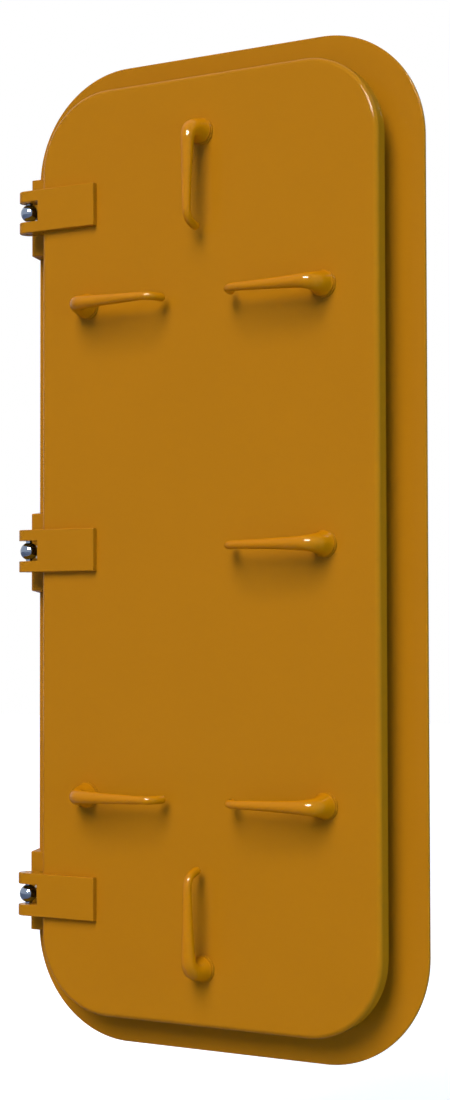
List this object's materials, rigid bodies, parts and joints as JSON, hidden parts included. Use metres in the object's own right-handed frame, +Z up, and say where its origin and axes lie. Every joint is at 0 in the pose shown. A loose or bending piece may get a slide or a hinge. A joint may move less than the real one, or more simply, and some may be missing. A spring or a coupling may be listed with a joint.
{
  "type": "watertight door",
  "caption": "Hinged marine watertight door: welded frame with coaming, gasketed steel leaf, and dogs worked by lever handles on both sides.",
  "frame": {"origin": "centre of the clear opening, in the bulkhead plane, which is the flange's back face", "axes": "+X to the right seen from outside, +Y inboard through the bulkhead, +Z up"},
  "size_m": [0.812, 0.2159, 1.812],
  "materials": {
    "orange_enamel": "glossy sprayed marine enamel",
    "handle_enamel": "glossy sprayed marine enamel on a forging",
    "polished_steel": "polished stainless steel",
    "zinc_plated_steel": "zinc plated",
    "gasket_rubber": "matt neoprene",
    "packing_rubber": "greased packing",
    "gland_brass": "machined"
  },
  "bodies": {
    "frame": {"frame_flange": "orange_enamel", "coaming": "orange_enamel", "hinge_pad_top": "orange_enamel", "hinge_pad_middle": "orange_enamel", "hinge_pad_bottom": "orange_enamel", "hinge_eyebolts": "polished_steel", "eyebolt_lock_nuts": "zinc_plated_steel", "dog_wedge_top": "orange_enamel", "dog_wedge_bottom": "orange_enamel", "dog_wedge_left_upper": "orange_enamel", "dog_wedge_left_lower": "orange_enamel", "dog_wedge_right_upper": "orange_enamel", "dog_wedge_right_middle": "orange_enamel", "dog_wedge_right_lower": "orange_enamel"},
    "leaf": {"leaf_panel": "orange_enamel", "gasket": "gasket_rubber", "gasket_retainer_outer": "orange_enamel", "gasket_retainer_inner": "orange_enamel", "leaf_stiffeners": "orange_enamel", "hinge_strap_top": "orange_enamel", "hinge_strap_middle": "orange_enamel", "hinge_strap_bottom": "orange_enamel", "hinge_pins": "polished_steel", "spindle_bushes": "orange_enamel", "spindle_packings": "packing_rubber", "gland_nuts": "gland_brass"},
    "dog_top": {"handle_top": "handle_enamel", "inner_lever_top": "handle_enamel", "spindle_nut_top": "zinc_plated_steel"},
    "dog_bottom": {"handle_bottom": "handle_enamel", "inner_lever_bottom": "handle_enamel", "spindle_nut_bottom": "zinc_plated_steel"},
    "dog_left_upper": {"handle_left_upper": "handle_enamel", "inner_lever_left_upper": "handle_enamel", "spindle_nut_left_upper": "zinc_plated_steel"},
    "dog_left_lower": {"handle_left_lower": "handle_enamel", "inner_lever_left_lower": "handle_enamel", "spindle_nut_left_lower": "zinc_plated_steel"},
    "dog_right_upper": {"handle_right_upper": "handle_enamel", "inner_lever_right_upper": "handle_enamel", "spindle_nut_right_upper": "zinc_plated_steel"},
    "dog_right_middle": {"handle_right_middle": "handle_enamel", "inner_lever_right_middle": "handle_enamel", "spindle_nut_right_middle": "zinc_plated_steel"},
    "dog_right_lower": {"handle_right_lower": "handle_enamel", "inner_lever_right_lower": "handle_enamel", "spindle_nut_right_lower": "zinc_plated_steel"}
  },
  "joints": [
    {"name": "leaf_swing", "type": "hinge", "parent": "frame", "child": "leaf", "pos_m": [-0.383, -0.0735, 0], "axis": [0, 0, -1], "range_deg": [0, 150]},
    {"name": "dog_top_turn", "type": "hinge", "parent": "leaf", "child": "dog_top", "pos_m": [0, -0.08, 0.746], "axis": [0, -1, 0], "range_deg": [0, 90]},
    {"name": "dog_bottom_turn", "type": "hinge", "parent": "leaf", "child": "dog_bottom", "pos_m": [0, -0.08, -0.746], "axis": [0, -1, 0], "range_deg": [0, 90]},
    {"name": "dog_left_upper_turn", "type": "hinge", "parent": "leaf", "child": "dog_left_upper", "pos_m": [-0.246, -0.08, 0.45], "axis": [0, 1, 0], "range_deg": [0, 90]},
    {"name": "dog_left_lower_turn", "type": "hinge", "parent": "leaf", "child": "dog_left_lower", "pos_m": [-0.246, -0.08, -0.45], "axis": [0, 1, 0], "range_deg": [0, 90]},
    {"name": "dog_right_upper_turn", "type": "hinge", "parent": "leaf", "child": "dog_right_upper", "pos_m": [0.246, -0.08, 0.45], "axis": [0, -1, 0], "range_deg": [0, 90]},
    {"name": "dog_right_middle_turn", "type": "hinge", "parent": "leaf", "child": "dog_right_middle", "pos_m": [0.246, -0.08, 0], "axis": [0, -1, 0], "range_deg": [0, 90]},
    {"name": "dog_right_lower_turn", "type": "hinge", "parent": "leaf", "child": "dog_right_lower", "pos_m": [0.246, -0.08, -0.45], "axis": [0, -1, 0], "range_deg": [0, 90]}
  ]
}
